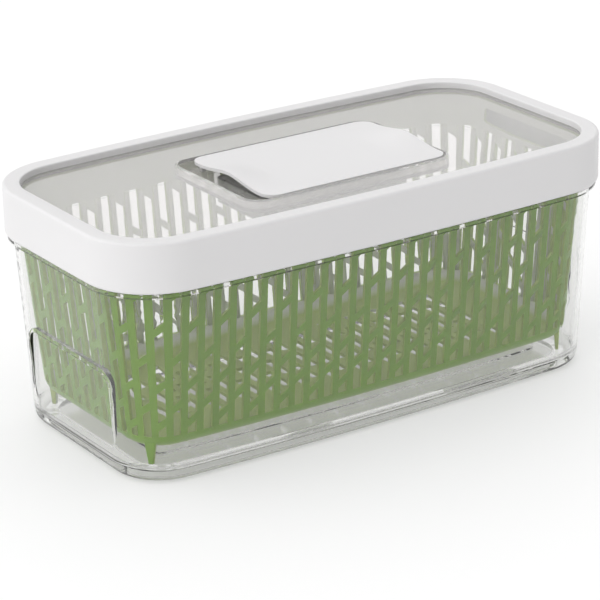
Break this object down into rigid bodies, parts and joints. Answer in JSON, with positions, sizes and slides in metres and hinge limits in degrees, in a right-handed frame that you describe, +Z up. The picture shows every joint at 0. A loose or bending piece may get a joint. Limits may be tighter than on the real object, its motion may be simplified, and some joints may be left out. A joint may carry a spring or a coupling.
{
  "type": "produce keeper",
  "caption": "Clear food keeper with a tapered box, a slotted inner basket and a framed lid with a sliding vent over a filter holder.",
  "frame": {"origin": "middle of the underside, on the plane that the box stands on", "axes": "+X along the length, +Y to the back, +Z up"},
  "size_m": [0.35, 0.178, 0.1485],
  "materials": {
    "clear_plastic": "clear moulded plastic, polished",
    "green_plastic": "translucent green plastic, satin",
    "white_plastic": "white plastic, fine satin",
    "window_plastic": "clear moulded plastic, polished",
    "seal_rubber": "soft translucent rubber",
    "filter_plastic": "translucent plastic, satin",
    "sachet_fleece": "heat-sealed fleece"
  },
  "bodies": {
    "container": {"container": "clear_plastic"},
    "basket": {"basket": "green_plastic"},
    "lid": {"lid_frame": "white_plastic", "lid_window": "window_plastic", "lid_seal": "seal_rubber", "filter_holder": "filter_plastic", "filter_sachet": "sachet_fleece"},
    "vent": {"vent_cover": "white_plastic", "vent_shutter": "white_plastic"},
    "filter_door": {"filter_door": "filter_plastic"}
  },
  "joints": [
    {"name": "basket_lift", "type": "slide", "parent": "container", "child": "basket", "axis": [0, 0, 1], "range_m": [0, 0.15]},
    {"name": "lid_lift", "type": "slide", "parent": "basket", "child": "lid", "axis": [0, 0, 1], "range_m": [0, 0.1]},
    {"name": "vent_slide", "type": "slide", "parent": "lid", "child": "vent", "axis": [-1, 0, 0], "range_m": [0, 0.01]},
    {"name": "filter_door_hinge", "type": "hinge", "parent": "lid", "child": "filter_door", "pos_m": [0.004, 0.0292, 0.1213], "axis": [1, 0, 0], "range_deg": [0, 100]}
  ]
}
